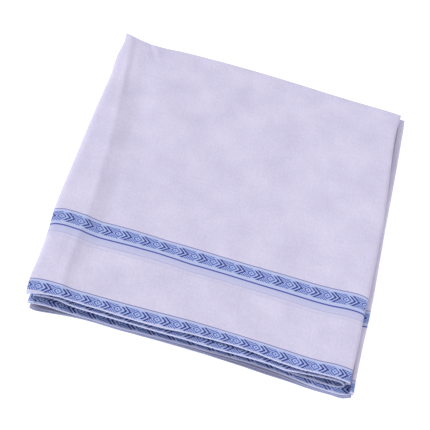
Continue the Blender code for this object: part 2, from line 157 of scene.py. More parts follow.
# Details of the cloth itself
CLOTH_WALL = 0.45
HEM_RADIUS = 0.42
HEM_SIDES = 8
BEAD_FLAT = 0.8  # height of a rolled hem as a share of its width
BEAD_MAP_START, BEAD_MAP_STEP = 0.3, 0.4  # where the hem's sides lie on its own map
FACE_STEP = 2.1  # the grid's step on the top panel
LOWER_STEP = 2.2  # and on the lower one
CREST = 0.6  # the soft edge along the crest of the fold at the left
CREST_WIDE = 2.8
CREST_SHIFT = 1.0  # how far left of the fold's line it lies
RIPPLE = 0.5
RIPPLE_SCALE = 34.0
CRUMPLE = 0.12
CRUMPLE_SCALE = 11.0
RIPPLE_SEED, CRUMPLE_SEED = 3.0, 9.0
HEM_WAVE = 0.25
HEM_WAVE_SCALE = 19.0
BORDER_WAVE = 0.3  # how far the borders waver on the plies under the top one
MIRRORED_SCALE, MIRRORED_SEED = 24.0, 7.0
STRAIGHT_SCALE, STRAIGHT_SEED = 22.0, 4.0
PINCH = 2.1  # how far the flat end of the left fold is pressed shut at the front
PINCH_FROM, PINCH_OVER = 1.2, 3.0  # from how far in under the fold, and over what distance
PINCH_FULL, PINCH_END = 9.0, 22.0
TRIM = 3.0  # how much narrower the lower panel's right flange is at the front
TRIM_BETWEEN = (16.0, 44.0)

# Soft troughs and ridges on the top panel: a line, its half width and its height
Crease = namedtuple("Crease", "x0 y0 x1 y1 wide high")
CREASES = (
    Crease(-112, 128, -84, -10, 7.0, -0.6),
    Crease(-102, -20, -98, -104, 7.0, -0.5),
    Crease(-115, 147, -102, 120, 1.5, -0.95),
    Crease(-111, 148, -98, 121, 2.2, 0.5),
    Crease(-127, 150, -118, 66, 2.6, -0.5),
    Crease(-110, -48, -106, -150, 5.0, -0.45),
    Crease(-122, 120, -98, 20, 8.0, -0.55),
    Crease(-100, 92, -60, 60, 11.0, 0.45),
    Crease(-84, 8, -30, -8, 2.4, 0.3),
    Crease(-88, 2, -34, -14, 3.4, -0.28),
    Crease(-105, 30, -86, -48, 6.0, 0.3),
    Crease(-62, 130, -40, 40, 12.0, -0.3),
    Crease(-12, 120, 22, 52, 10.0, 0.3),
    Crease(34, 118, 52, 36, 9.0, -0.3),
    Crease(70, 112, 118, 74, 7.0, 0.3),
    Crease(92, 26, 126, -28, 6.0, 0.36),
    Crease(74, 6, 110, -50, 7.0, -0.3),
    Crease(-20, -10, 60, -34, 8.0, 0.26),
    Crease(-96, -96, -8, -112, 7.0, 0.28),
    Crease(10, -92, 118, -104, 8.0, -0.26),
    Crease(-134, 60, -128, -20, 4.0, -0.3),
    Crease(-131, -40, -126, -118, 4.5, 0.35),
)

# Where the borders' lines lie on the top panel, from left to right: where the front border's motif
# starts, its far line, then the near and the far line of the inner border
Lines = namedtuple("Lines", "x first front near far")
LINES = (
    Lines(-142.0, -134.2, -124.6, -73.0, -56.7),
    Lines(-135.0, -134.4, -123.5, -71.7, -55.4),
    Lines(-126.0, -134.6, -123.2, -71.6, -55.4),
    Lines(-117.0, -134.3, -123.3, -72.1, -55.8),
    Lines(-106.0, -133.5, -123.9, -72.6, -56.4),
    Lines(-90.0, -133.8, -123.8, -72.7, -56.3),
    Lines(-70.0, -134.2, -123.8, -72.3, -56.3),
    Lines(-45.0, -134.5, -123.4, -72.3, -57.4),
    Lines(-18.0, -133.8, -123.0, -73.8, -57.6),
    Lines(8.0, -132.9, -122.8, -74.0, -58.3),
    Lines(35.0, -132.9, -123.5, -74.7, -58.7),
    Lines(63.0, -134.9, -124.5, -75.5, -58.6),
    Lines(90.0, -136.8, -125.8, -76.2, -59.1),
    Lines(107.0, -136.6, -126.2, -76.1, -59.0),
    Lines(121.0, -136.2, -125.0, -74.7, -57.6),
    Lines(131.0, -136.5, -125.4, -74.6, -57.3),
    Lines(137.0, -136.8, -126.0, -75.4, -58.4),
)


def mix(a, b, share):
    """The value a share of the way from a to b."""
    return a + (b - a) * share


def ease(share):
    """A soft step from 0 to 1."""
    share = min(1.0, max(0.0, share))
    return share * share * (3.0 - 2.0 * share)


def through(rows, column, at):
    """A smooth curve through one column of a table, read where the table's first column is at."""
    if at <= rows[0][0]:
        return getattr(rows[0], column)
    if at >= rows[-1][0]:
        return getattr(rows[-1], column)
    k = max(i for i in range(len(rows) - 1) if rows[i][0] <= at)
    step = rows[k + 1][0] - rows[k][0]

    def value(i):
        return getattr(rows[i], column)

    def slope(i):
        low, high = max(i - 1, 0), min(i + 1, len(rows) - 1)
        return (value(high) - value(low)) / (rows[high][0] - rows[low][0]) * step

    u = (at - rows[k][0]) / step
    rise = value(k + 1) - value(k)
    first, last = slope(k), slope(k + 1)
    return value(k) + u * (first + u * (3 * rise - 2 * first - last + u * (first + last - 2 * rise)))


def waver(x, y, scale, seed):
    """Smooth noise from -1 to 1, the same on each run."""
    return noise.noise(Vector((x / scale, y / scale, seed)))


def side_edges(left, right):
    """Where the left and right edges lie, as functions of y."""
    return (
        lambda y: -HALF - through(SIDES, left, y),
        lambda y: HALF + through(SIDES, right, y),
    )


def back_edge(column):
    """Where a back edge lies, as a function of x."""
    return lambda x: HALF + through(BACKS, column, x)


def hem_line(column, seed=0.0):
    """Where a hem lies, as a function of x."""
    return lambda x: -HALF - through(HEMS, column, x) + HEM_WAVE * waver(x, 0.0, HEM_WAVE_SCALE, seed)


def crown(x, y):
    """The gentle rise of the packet towards its middle."""
    rise_x = max(0.0, math.cos(math.pi / 2 * x / CROWN_REACH))
    rise_y = max(0.0, math.cos(math.pi / 2 * y / CROWN_REACH))
    return CROWN * math.sqrt(rise_x * rise_y)


def top_form(x, y):
    """Height of the top panel's solid before its edges turn down."""
    foot = through(FOLDS, "x", y) + FOLD_FLANK - FOLD_PLATEAU
    fold = through(FOLDS, "height", y) * ease((foot - x) / FOLD_FLANK)
    inset = HALF + through(SIDES, "right", y) - x
    shoulder = SHOULDER * max(0.0, 1.0 - inset / SHOULDER_REACH) ** 2
    return PACKET + crown(x, y) + fold - shoulder


def creases(x, y):
    """The soft troughs and ridges as listed."""
    total = 0.0
    for c in CREASES:
        dx, dy = c.x1 - c.x0, c.y1 - c.y0
        length = math.hypot(dx, dy)
        along = ((x - c.x0) * dx + (y - c.y0) * dy) / length**2
        if 0.0 < along < 1.0:
            across = ((x - c.x0) * dy - (y - c.y0) * dx) / length
            total += c.high * math.sin(math.pi * along) * math.exp(-((across / c.wide) ** 2))
    return total


def top_face(x, y):
    """Height of the top panel's cloth: its form, with its creases and its unevenness."""
    crest = CREST * math.exp(-(((x - through(FOLDS, "x", y) + CREST_SHIFT) / CREST_WIDE) ** 2))
    uneven = RIPPLE * waver(x, y, RIPPLE_SCALE, RIPPLE_SEED)
    uneven += CRUMPLE * waver(x, y, CRUMPLE_SCALE, CRUMPLE_SEED)
    return top_form(x, y) + crest + creases(x, y) + uneven


def near_front(y, full, end):
    """1 up to a distance behind the front line, then softly down to 0 at another."""
    return ease((end - HALF - y) / (end - full))


def top_under(x, y):
    """Height that the top panel's turned edges go down to: the left fold lies flat at the front."""
    flat = near_front(y, FLAT_FULL, FLAT_END) if x < 0.0 else 0.0
    return mix(TOP_UNDER, top_face(x, y) - FOLD_DEPTH, flat)


def second_face(x, y):
    """Height of the second ply's upper face, which droops along the front."""
    return top_face(x, y) - SECOND_DROP - DROOP * near_front(y, DROOP_FULL, DROOP_END)


def second_left(y):
    """Where the second ply's upper run ends at the left."""
    return mix(SECOND_LEFT, SECOND_TUCKED, near_front(y, TUCK_FULL, TUCK_END))


def lower_face(x, y):
    """Height of the lower panel's underside: level, with a raised lip at the front left."""
    return LOWER_FACE + through(HEMS, "lift", x) * near_front(y, LIP_FULL, LIP_END)


def lower_rim(x, y):
    """Height that the lower panel's turned-up edges reach."""
    level = mix(LOWER_RIM, LOWER_RIM_RIGHT, ease((x - HALF + RIM_RISE) / RIM_RISE))
    return max(level, lower_face(x, y) + LIP_RIM)


def turn_inset(radius, angle):
    """Distance from the outermost point of a turned edge."""
    return radius * (1.0 - math.sin(math.radians(angle)))


def turn_drop(angle):
    """Share of the turn's half height that an angle has gone down."""
    return 1.0 - math.cos(math.radians(angle))


def turn_arc(radius, half, angle):
    """Length of cloth round a turned edge, from its face to an angle."""
    total = 0.0
    for k in range(ARC_STEPS):
        a, b = (math.radians(angle * n / ARC_STEPS) for n in (k, k + 1))
        total += math.hypot(radius * (math.sin(b) - math.sin(a)), half * (math.cos(b) - math.cos(a)))
    return total


def spread(step, length):
    """Even shares between two ends, about a step apart."""
    count = round(length / step)
    return [k / count for k in range(1, count)]


class Shell:
    """A thin cloth surface: its points, their places on the flat cloth, and its patches."""

    def __init__(self):
        self.points, self.cloth, self.patches = [], [], []

    def add(self, point, place):
        """Adds a point in millimetres, with its place along and across the flat cloth."""
        self.points.append(tuple(value * MM for value in point))
        self.cloth.append(tuple(value * MM for value in place))
        return len(self.points) - 1

    def fill(self, lines, turned=False):
        """Fills the patches between neighbouring lines of points."""
        for one, two in zip(lines, lines[1:]):
            for k in range(len(one) - 1):
                patch = (one[k], two[k], two[k + 1], one[k + 1])
                self.patches.append(patch[::-1] if turned else patch)

    def make(self, name, material, wall=0.0):
        """The object, with the wall added on its inner side."""
        mesh = bpy.data.meshes.new(name)
        mesh.from_pydata(self.points, [], self.patches)
        layer = mesh.uv_layers.new(name="cloth")
        order = np.zeros(len(mesh.loops), np.int32)
        mesh.loops.foreach_get("vertex_index", order)
        layer.data.foreach_set("uv", np.array(self.cloth, np.float32)[order].ravel())
        mesh.shade_smooth()
        mesh.materials.append(material)
        piece = bpy.data.objects.new(name, mesh)
        bpy.context.scene.collection.objects.link(piece)
        if wall:
            solid = piece.modifiers.new("wall", "SOLIDIFY")
            solid.thickness = wall * MM
            solid.offset = -1.0
        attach(piece, "root")
        return piece


class TurnedSheet:
    """A sheet of cloth with its left, back and right edges turned over, and a hem at the front."""

    pinch = 0.0  # how far the left edge's underside is pressed up at the front
    trim = 0.0  # how much narrower the right flange is at the front

    def __init__(self, edges, back, hem, face, under, radius, flange, step, half):
        self.left, self.right = edges
        self.back, self.hem = back, hem
        self.face, self.under = face, under
        self.radius, self.flange, self.half = radius, flange, half
        self.up = face(0.0, 0.0) > under(0.0, 0.0)
        low = [("low", angle) for angle in FACE_ANGLES]
        high = [("high", angle) for angle in reversed(FACE_ANGLES)]
        between = [("between", share) for share in spread(step, 2 * HALF)]
        self.columns = low + between + high
        self.rows = [("between", 0.0)] + between + high

    def across(self, column, y):
        """The x of a column of points, at y."""
        side, value = column
        if side == "low":
            return self.left(y) + turn_inset(self.radius.left, value)
        if side == "high":
            return self.right(y) - turn_inset(self.radius.right, value)
        return mix(self.left(y) + self.radius.left, self.right(y) - self.radius.right, value)

    def along(self, row, x):
        """The y of a row of points, at x."""
        side, value = row
        if side == "high":
            return self.back(x) - turn_inset(self.radius.back, value)
        return mix(self.hem(x), self.back(x) - self.radius.back, value)

    def level(self, x, y, drop):
        """The z of a point that has gone drop half heights round the turn."""
        face, under = self.face(x, y), self.under(x, y)
        return face - (face - under) / 2 * drop

    def place(self, column, row, x, y):
        """Where a point of the face lies on the flat cloth."""
        s, t = x, y - self.hem(x)
        side, value = column
        if side == "low":
            s = self.left(y) + self.radius.left - turn_arc(self.radius.left, self.half, value)
        if side == "high":
            s = self.right(y) - self.radius.right + turn_arc(self.radius.right, self.half, value)
        side, value = row
        if side == "high":
            edge = self.back(x) - self.radius.back - self.hem(x)
            t = edge + turn_arc(self.radius.back, self.half, value)
        return s, t

    def shell(self, drawn):
        """The surface, and the path of its hem from one turned end to the other."""
        shell = Shell()
        columns, places = [], []
        for column in self.columns:
            line, spots = [], []
            for row in self.rows:
                y = self.along(row, 0.0)
                x = self.across(column, y)
                y = self.along(row, x)
                x = self.across(column, y)
                turned = [value for side, value in (column, row) if side != "between"]
                drop = max([turn_drop(angle) for angle in turned], default=0.0)
                place = self.place(column, row, x, y)
                line.append(shell.add((x, y, self.level(x, y, drop)), drawn(*place)))
                spots.append((x, y, *place))
            columns.append(line)
            places.append(spots)
        shell.fill(columns, turned=not self.up)
        last = len(self.rows) - 1
        rim = columns[0][:last] + [line[last] for line in columns] + columns[-1][last - 1 :: -1]
        path = places[0][:last] + [line[last] for line in places] + places[-1][last - 1 :: -1]
        sides = [(-1, 0)] * last + [(0, 1)] * len(columns) + [(1, 0)] * last
        sides[last], sides[-last - 1] = (-1, 1), (1, 1)
        hoops = [rim]
        turns = [(angle, 0.0) for angle in UNDER_ANGLES]
        for angle, flange in turns + [(180.0, share) for share in FLANGE_SHARES]:
            hoops.append(self.hoop(shell, path, sides, angle, flange, drawn))
        shell.fill(hoops, turned=self.up)
        hem = [hoop[0] for hoop in reversed(hoops[1:])]
        hem += [line[0] for line in columns] + [hoop[-1] for hoop in hoops[1:]]
        return shell, hem

    def hoop(self, shell, path, sides, angle, flange, drawn):
        """The rim's points moved in under the face."""
        inset = [turn_inset(r, angle) + f * flange for r, f in zip(self.radius, self.flange)]
        extra = [
            turn_arc(r, self.half, angle) - turn_arc(r, self.half, 90.0) + f * flange
            for r, f in zip(self.radius, self.flange)
        ]
        hoop = []
        for (x, y, s, t), (sx, sy) in zip(path, sides):
            left, right, hem, back = self.left(y), self.right(y), self.hem(x), self.back(x)
            share_x = min(1.0, max(0.0, (x - left) / (right - left)))
            share_y = min(1.0, max(0.0, (y - hem) / (back - hem)))
            trimmed = inset[2] - flange * self.trim * near_front(y, *TRIM_BETWEEN)
            new_x = mix(left + inset[0], right - trimmed, share_x)
            new_y = mix(max(hem, self.hem(new_x)), back - inset[1], share_y)
            z = self.level(new_x, new_y, turn_drop(angle))
            if sx < 0:
                shut = ease((inset[0] - PINCH_FROM) / PINCH_OVER)
                z += self.pinch * shut * near_front(new_y, PINCH_FULL, PINCH_END)
            s += sx * (extra[0] if sx < 0 else extra[2])
            t += sy * extra[1]
            hoop.append(shell.add((new_x, new_y, z), drawn(s, t)))
        return hoop


def drawn_back(s, t):
    """A place on the cloth of the top panel, whose borders are drawn out of their straight lines."""
    hem = -HALF - through(HEMS, "top", s)
    seen = [0.0] + [through(LINES, name, s) - hem for name in ("first", "front", "near", "far")]
    woven = (0.0, HEM_CENTRE - HEM_HALF, HEM_BAND[1], *INNER_BAND)
    beyond = max(0.0, t - seen[-1])
    along = float(np.interp(t, seen, woven)) + beyond + min(t, 0.0)
    return s + TOP_PHASE + SKEW * ease(along / INNER_BAND[0]), along


def mirrored(s, t):
    """A place on the cloth for a ply that shows its borders the other way round."""
    return -s + LOWER_PHASE, t + BORDER_WAVE * waver(s, 0.0, MIRRORED_SCALE, MIRRORED_SEED)


def straight(s, t):
    """A place on the cloth as it is."""
    return s + SECOND_PHASE, t + BORDER_WAVE * waver(s, 0.0, STRAIGHT_SCALE, STRAIGHT_SEED)


def hem_bead(name, shell, path, outward, material):
    """The rolled hem along a path of the shell's points: a tube that the ply's edge is rolled in."""
    line = [Vector(shell.points[k]) for k in path]
    bead = Shell()
    rings = []
    run = 0.0
    for k, point in enumerate(line):
        before, after = line[max(k - 1, 0)], line[min(k + 1, len(line) - 1)]
        tangent = (after - before).normalized()
        out = outward * tangent.cross(Vector((0.0, 1.0, 0.0))).normalized()
        side = out.cross(tangent)
        run += (point - line[max(k - 1, 0)]).length
        centre = point - out * CLOTH_WALL / 2 * MM
        ring = []
        for n in range(HEM_SIDES + 1):
            turn = 2 * math.pi * n / HEM_SIDES
            offset = out * math.sin(turn) * BEAD_FLAT + side * math.cos(turn)
            spot = centre + offset * HEM_RADIUS * MM
            ring.append(bead.add(spot / MM, (run / MM, BEAD_MAP_START + n * BEAD_MAP_STEP)))
        rings.append(ring)
    bead.fill(rings, turned=outward > 0)
    return bead.make(name, material)


def srgb(red, green, blue):
    """A colour of 0 to 255 as the shader takes it."""
    line = [c / 255 for c in (red, green, blue)]
    return tuple(c / 12.92 if c <= 0.04045 else ((c + 0.055) / 1.055) ** 2.4 for c in line) + (1.0,)


class Field:
    """A number that varies over the surface, worked out by Math nodes."""

    def __init__(self, tree, socket):
        self.tree, self.socket = tree, socket

    def by(self, operation, *values):
        """This number and others put through a Math node."""
        node = self.tree.nodes.new("ShaderNodeMath")
        node.operation = operation
        for slot, value in zip(node.inputs, (self,) + values):
            if isinstance(value, Field):
                self.tree.links.new(value.socket, slot)
            else:
                slot.default_value = value
        return Field(self.tree, node.outputs[0])

    def __add__(self, other):
        return self.by("ADD", other)

    def __sub__(self, other):
        return self.by("SUBTRACT", other)

    def __mul__(self, other):
        return self.by("MULTIPLY", other)

    def __truediv__(self, other):
        return self.by("DIVIDE", other)

    def over(self, edge, soft=0.12):
        """1 above an edge and 0 below it, softly."""
        node = self.tree.nodes.new("ShaderNodeMapRange")
        node.interpolation_type = "SMOOTHSTEP"
        self.tree.links.new(self.socket, node.inputs["Value"])
        for name, value in (("From Min", edge - soft), ("From Max", edge + soft)):
            node.inputs[name].default_value = value
        return Field(self.tree, node.outputs["Result"])

    def inside(self, low, high, soft=0.12):
        """1 between two edges and 0 outside them, softly."""
        return self.over(low, soft) * self.under(high, soft)

    def under(self, edge, soft=0.12):
        """1 below an edge and 0 above it, softly."""
        return self.over(edge, soft) * -1.0 + 1.0

    def near(self, at, half, soft=0.08):
        """1 within half of a value and 0 further off, softly."""
        return self.inside(at - half, at + half, soft)

    def clipped(self):
        """The number kept between 0 and 1."""
        return self.by("MAXIMUM", 0.0).by("MINIMUM", 1.0)

    def scaled(self, share, base):
        """A share of the number on top of a base."""
        return self * share + base

    def threads(self):
        """The number in steps of one thread."""
        return (self / THREAD).by("FLOOR") * THREAD + THREAD / 2


def blend(tree, share, one, two):
    """A colour mixed from two, each a colour or a socket, by a share that may vary."""
    node = tree.nodes.new("ShaderNodeMix")
    node.data_type = "RGBA"
    if isinstance(share, Field):
        tree.links.new(share.socket, node.inputs["Factor"])
    else:
        node.inputs["Factor"].default_value = share
    for name, colour in (("A", one), ("B", two)):
        slot = next(s for s in node.inputs if s.name == name and s.type == "RGBA")
        if isinstance(colour, tuple):
            slot.default_value = colour
        else:
            tree.links.new(colour, slot)
    return next(s for s in node.outputs if s.type == "RGBA")


def noise_field(tree, s, t, kind):
    """Smooth noise on the flat cloth, with its own scale each way."""
    join = tree.nodes.new("ShaderNodeCombineXYZ")
    tree.links.new((s * kind.along).socket, join.inputs["X"])
    tree.links.new((t * kind.across).socket, join.inputs["Y"])
    node = tree.nodes.new("ShaderNodeTexNoise")
    node.inputs["Scale"].default_value = 1.0
    node.inputs["Detail"].default_value = kind.detail
    tree.links.new(join.outputs["Vector"], node.inputs["Vector"])
    return Field(tree, node.outputs["Fac"])


# The woven border, in millimetres from the hem
THREAD = 0.425
MOTIF_THREADS = 40
PERIOD = MOTIF_THREADS * THREAD
HEM_BAND = (0.9, 11.4)
HEM_CENTRE, HEM_HALF = 4.8, 4.0
INNER_BAND = (61.0, 77.4)
INNER_CENTRE, INNER_HALF = 69.8, 4.7
BETWEEN_BANDS = 30.0  # a place between the two bands
NEAR_WIDE, FAR_WIDE = 1.25, 0.75
GHOST = (55.0, 61.2)  # where a band of the ply below shows through the top panel
GHOST_FRINGE = 3.4
GHOST_SOFT, GHOST_RISE, GHOST_MOTTLE, GHOST_BASE = 0.4, 0.25, 0.5, 0.12
FRINGE_SOFT, FRINGE_SHARE = 0.6, 0.3
GHOST_EDGE_HALF, GHOST_EDGE_SOFT, GHOST_EDGE_SHARE = 0.3, 0.4, 1.1
FRINGE_EDGE_HALF, FRINGE_EDGE_SOFT, FRINGE_EDGE_SHARE = 0.2, 0.5, 0.5
PLAIN_FROM = 13.0  # where the cloth is plain again, behind the front border
HEM_STITCH = 1.2  # from one stitch of a rolled hem to the next
TOP_PHASE, SECOND_PHASE, LOWER_PHASE = 3.6, -1.6, -4.0
SKEW = 1.6  # how far the inner border is woven further along than the front one

# The motif, in millimetres along from the middle of its diamond. Lines that point to the right are
# placed by where their tips lie, and so are those that point to the left, on the other side.
SLOPE = 1.25
CELL_END = 12.4
BOLD_INNER, BOLD_OUTER, BOLD_HALF = 7.5, 11.2, 1.05
BOLD_INNER_REACH = 0.78  # as a share of the motif's half width
DIAMOND_RIGHT, DIAMOND_LEFT, DIAMOND_HALF = 3.6, 3.4, 0.7
DOT = 0.95
FINE_FROM, FINE_STEP, FINE_HALF = 5.9, 2.3, 0.24
FINE_ENDS = (-4.4, 6.3)

CLOTH = srgb(183, 177, 202)
CLOTH_PALE = srgb(211, 206, 227)
BAND = srgb(168, 178, 213)
BAND_DEEP = srgb(152, 168, 215)
FINE_BLUE = srgb(44, 66, 152)
MEDIUM_BLUE = srgb(40, 58, 144)
BOLD_BLUE = srgb(10, 22, 116)
LINE_NEAR = srgb(46, 60, 146)
LINE_FAR = srgb(98, 94, 150)
SHOW_THROUGH = srgb(160, 168, 208)
SHOW_EDGE = srgb(138, 140, 180)
HEM_WHITE = srgb(216, 224, 255)
HEM_FURROW = srgb(150, 160, 224)
# painted shade: the colour that deeper plies and the lowest hem are darkened towards
SHADED = srgb(72, 68, 108)

# Noise on the flat cloth: how fast it changes each way, and how detailed it is
Noise = namedtuple("Noise", "along across detail")
MOTTLE = Noise(0.035, 0.035, 2.0)
WEFT = Noise(0.05, 1.6, 3.0)
WARP = Noise(1.6, 0.05, 3.0)
GRAIN = Noise(0.55, 0.4, 3.0)
FIBRE = Noise(1.1, 2.4, 3.0)

# How much each part counts in the cloth's tone, in the cover of the blues, and in the bump
TONE_MOTTLE, TONE_SLUB, TONE_GRAIN, TONE_BASE = 0.9, 0.9, 0.8, 0.85
THREAD_GAIN, THREAD_BASE = 2.0, 0.5
BAND_COVER, DEEP_COVER, BOLD_COVER = (0.25, 0.75), (0.3, 0.65), (0.15, 0.85)
FINE_COVER, RING_COVER, NEAR_COVER, FAR_COVER = 0.95, 0.9, 0.95, 0.85
BUMP_WEAVE, BUMP_SLUB, BUMP_MOTIF, BUMP_FINE = 0.035, 0.09, 0.07, 0.5
CLOTH_ROUGH, CLOTH_BUMP = (0.12, 0.8), 0.5
SPECULAR, SHEEN, SHEEN_ROUGH = 0.25, 0.12, 0.5

# The thread of the rolled hems: its slant, where a stitch stands up, and the same weights
STITCH_SLANT = 0.5
STITCH_FROM, STITCH_TO, STITCH_SOFT = 0.15, 0.75, 0.15
HEM_TONE_STITCH, HEM_TONE_FIBRE = 0.5, 0.8
HEM_BUMP_STITCH, HEM_BUMP_FIBRE = 0.12, 0.05
HEM_ROUGH, HEM_BUMP = (0.1, 0.78), 0.6


def motif(s, t):
    """The chevrons and diamonds of the border: its bold, medium and fine lines, and their ground."""
    inner = t.over(BETWEEN_BANDS)
    centre = inner * (INNER_CENTRE - HEM_CENTRE) + HEM_CENTRE
    half = inner * (INNER_HALF - HEM_HALF) + HEM_HALF
    v = (t - centre).by("ABSOLUTE")
    zone = (half - v).over(0.0, soft=0.1)
    arm = v.threads() * SLOPE
    u = ((s / PERIOD).by("FRACT") * PERIOD).threads() - (PERIOD - BOLD_OUTER)
    before = (u + arm).under(CELL_END - PERIOD, soft=0.01)
    after = (u + arm).over(CELL_END, soft=0.01)
    u = u + (before - after) * PERIOD
    to_right, to_left = u + arm, arm - u
    bold = to_right.near(BOLD_INNER, BOLD_HALF) * (half * BOLD_INNER_REACH - v).over(0.0)
    bold = bold + to_right.near(BOLD_OUTER, BOLD_HALF)
    ring = to_right.near(DIAMOND_RIGHT, DIAMOND_HALF) * to_left.under(DIAMOND_LEFT + DIAMOND_HALF)
    ring = ring + to_left.near(DIAMOND_LEFT, DIAMOND_HALF) * to_right.under(DIAMOND_RIGHT)
    ring = ring + (u.by("ABSOLUTE") + arm).under(DOT)
    stripe = ((to_left - FINE_FROM) / FINE_STEP + 0.5).by("FRACT").near(0.5, FINE_HALF, soft=0.05)
    fine = stripe * to_left.over(FINE_FROM - FINE_STEP / 2) * to_right.inside(*FINE_ENDS)
    return bold * zone, ring.by("MINIMUM", 1.0) * zone, fine * zone, zone


def cloth_material(name):
    """A new material, its nodes, and the place on the flat cloth in millimetres."""
    material = bpy.data.materials.new(name)
    material.use_nodes = True
    tree = material.node_tree
    place = tree.nodes.new("ShaderNodeUVMap")
    place.uv_map = "cloth"
    split = tree.nodes.new("ShaderNodeSeparateXYZ")
    tree.links.new(place.outputs["UV"], split.inputs["Vector"])
    s = Field(tree, split.outputs["X"]) * (1 / MM)
    t = Field(tree, split.outputs["Y"]) * (1 / MM)
    return material, tree, s, t


def set_surface(tree, colour, rough, height, strength):
    """Gives the shader its colour, roughness and bump."""
    shader = tree.nodes["Principled BSDF"]
    tree.links.new(colour, shader.inputs["Base Color"])
    tree.links.new(rough.socket, shader.inputs["Roughness"])
    shader.inputs["Specular IOR Level"].default_value = SPECULAR
    bump = tree.nodes.new("ShaderNodeBump")
    bump.inputs["Strength"].default_value = strength
    bump.inputs["Distance"].default_value = MM
    tree.links.new(height.socket, bump.inputs["Height"])
    tree.links.new(bump.outputs["Normal"], shader.inputs["Normal"])
    return shader


def show_through(tree, t, mottle, colour):
    """The colour with a band of the ply below that shows through."""
    low, high = GHOST
    fringe = low - GHOST_FRINGE
    reach = (t - low) / (high - low)
    under = t.inside(low, high, GHOST_SOFT) * (reach * GHOST_RISE + mottle * GHOST_MOTTLE + GHOST_BASE)
    under = under + t.inside(fringe, low, FRINGE_SOFT) * mottle * FRINGE_SHARE
    colour = blend(tree, under, colour, SHOW_THROUGH)
    edges = t.near(low, GHOST_EDGE_HALF, GHOST_EDGE_SOFT)
    edges = edges + t.near(fringe, FRINGE_EDGE_HALF, FRINGE_EDGE_SOFT) * FRINGE_EDGE_SHARE
    return blend(tree, edges * mottle * GHOST_EDGE_SHARE, colour, SHOW_EDGE)


def cotton(name, ghost=False, painted_shade=0.0):
    """Plain-woven cotton with its two woven bands, drawn from the map of the flat cloth.

    The last argument is painted shade: how far the colour of a ply that lies deeper goes towards the
    shaded colour.
    """
    material, tree, s, t = cloth_material(name)
    mottle = noise_field(tree, s, t, MOTTLE)
    slub = (noise_field(tree, s, t, WEFT) + noise_field(tree, s, t, WARP)) * 0.5
    grain = noise_field(tree, s, t, GRAIN)
    tone = mottle * TONE_MOTTLE + slub * TONE_SLUB + grain * TONE_GRAIN - TONE_BASE
    colour = blend(tree, tone.clipped(), CLOTH, CLOTH_PALE)
    if ghost:
        colour = show_through(tree, t, mottle, colour)

    band = t.inside(*HEM_BAND) + t.inside(*INNER_BAND)
    bold, ring, fine, zone = (share * band for share in motif(s, t))
    thread = (slub * THREAD_GAIN - THREAD_BASE).clipped()
    near = t.inside(INNER_BAND[0], INNER_BAND[0] + NEAR_WIDE)
    far = t.inside(INNER_BAND[1] - FAR_WIDE, INNER_BAND[1])
    far = far + t.inside(HEM_BAND[1] - FAR_WIDE, HEM_BAND[1])
    for share, blue in (
        (band * thread.scaled(*BAND_COVER), BAND),
        (zone * thread.scaled(*DEEP_COVER), BAND_DEEP),
        (fine * FINE_COVER, FINE_BLUE),
        (ring * RING_COVER, MEDIUM_BLUE),
        (bold * thread.scaled(*BOLD_COVER), BOLD_BLUE),
        (near * NEAR_COVER, LINE_NEAR),
        (far * FAR_COVER, LINE_FAR),
        # painted shade on plies that lie deeper
        (painted_shade, SHADED),
    ):
        colour = blend(tree, share, colour, blue)

    turn = 2 * math.pi / (2 * THREAD)
    weave = (s * turn).by("SINE") * (t * turn).by("SINE")
    height = weave * BUMP_WEAVE + slub * BUMP_SLUB + (bold + ring + fine * BUMP_FINE) * BUMP_MOTIF
    shader = set_surface(tree, colour, slub.scaled(*CLOTH_ROUGH), height, CLOTH_BUMP)
    shader.inputs["Sheen Weight"].default_value = SHEEN
    shader.inputs["Sheen Roughness"].default_value = SHEEN_ROUGH
    return material


def hem_cotton(name, painted_shade=0.0):
    """The rolled hem: white thread whipped round it, slanting, with fine furrows between."""
    material, tree, s, t = cloth_material(name)
    stitch = ((s + t * STITCH_SLANT) / HEM_STITCH).by("FRACT").inside(STITCH_FROM, STITCH_TO, STITCH_SOFT)
    fibre = noise_field(tree, s, t, FIBRE)
    share = (stitch * HEM_TONE_STITCH + fibre * HEM_TONE_FIBRE).by("MINIMUM", 1.0)
    colour = blend(tree, share, HEM_FURROW, HEM_WHITE)
    # painted shade: the hem of a deeper ply is darkened towards the shaded colour
    colour = blend(tree, painted_shade, colour, SHADED)
    height = stitch * HEM_BUMP_STITCH + fibre * HEM_BUMP_FIBRE
    set_surface(tree, colour, fibre.scaled(*HEM_ROUGH), height, HEM_BUMP)
    return material


def make_top(cloth, hem):
    """The panel on top, rolled over at the left, the back and the right."""
    sheet = TurnedSheet(
        side_edges("left", "right"),
        back_edge("top"),
        hem_line("top", seed=1.0),
        top_face,
        top_under,
        TOP_RADIUS,
        TOP_FLANGE,
        FACE_STEP,
        TOP_HALF,
    )
    sheet.pinch = PINCH
    shell, path = sheet.shell(drawn_back)
    piece = shell.make("top_panel_cloth", cloth, CLOTH_WALL)
    bead = hem_bead("top_panel_hem", shell, path, 1.0, hem)
    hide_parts("top_panel")


# Steps of the second ply: close together at its hem, then wider, then those across it
SECOND_FIRST = 0.004  # share of the way back at which the row behind the hem lies
SECOND_FINE, SECOND_FINE_END = 1.5, 16
SECOND_WIDER, SECOND_WIDER_START = 4.0, 6
SECOND_ACROSS = 3.0
SECOND_MAP_SHORT = 3.0  # how much less than its span the map counts from hem to back


